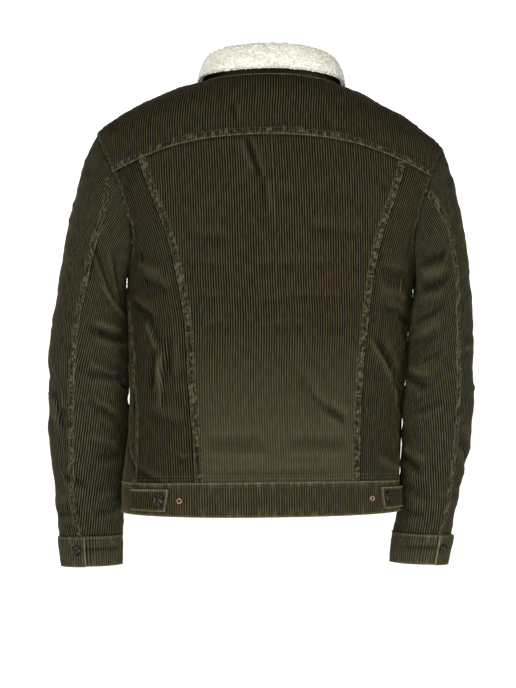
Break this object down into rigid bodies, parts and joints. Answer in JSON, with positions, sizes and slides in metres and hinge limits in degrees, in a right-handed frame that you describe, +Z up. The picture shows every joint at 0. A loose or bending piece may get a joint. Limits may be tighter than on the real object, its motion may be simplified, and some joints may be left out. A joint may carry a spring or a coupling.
{
  "type": "jacket",
  "caption": "Waist-length corduroy jacket with a sherpa collar and lining, worn shape with hollow body and sleeves, back yoke, slanted panels, buttoned waistband, side tabs and cuffs.",
  "frame": {"origin": "middle of the neck base, between the shoulders", "axes": "+Z up the back, +X towards the wearer's right, +Y towards the wearer's front, so the back faces -Y"},
  "size_m": [0.6044, 0.2658, 0.7381],
  "materials": {
    "corduroy": "wide-wale corduroy, matt with a soft sheen",
    "sherpa": "curly pile, matt",
    "dark_metal": "dark, semi-gloss",
    "copper": "copper-coloured, semi-gloss"
  },
  "bodies": {
    "root": {"back_yoke": "corduroy", "back_centre_panel": "corduroy", "back_side_left": "corduroy", "back_side_right": "corduroy", "front_left": "corduroy", "front_right": "corduroy", "front_placket": "corduroy", "waistband": "corduroy", "tab_left": "corduroy", "tab_right": "corduroy", "sleeve_upper_left": "corduroy", "sleeve_upper_right": "corduroy", "sleeve_under_left": "corduroy", "sleeve_under_right": "corduroy", "cuff_left": "corduroy", "cuff_right": "corduroy", "collar_under": "corduroy", "collar_upper": "sherpa", "front_button_1": "dark_metal", "front_button_2": "dark_metal", "front_button_3": "dark_metal", "front_button_4": "dark_metal", "front_button_5": "dark_metal", "band_button": "dark_metal", "tab_button_left": "dark_metal", "tab_button_right": "dark_metal", "cuff_button_left": "dark_metal", "cuff_button_right": "dark_metal", "ring_stud_left": "copper", "ring_stud_right": "copper"}
  },
  "joints": []
}
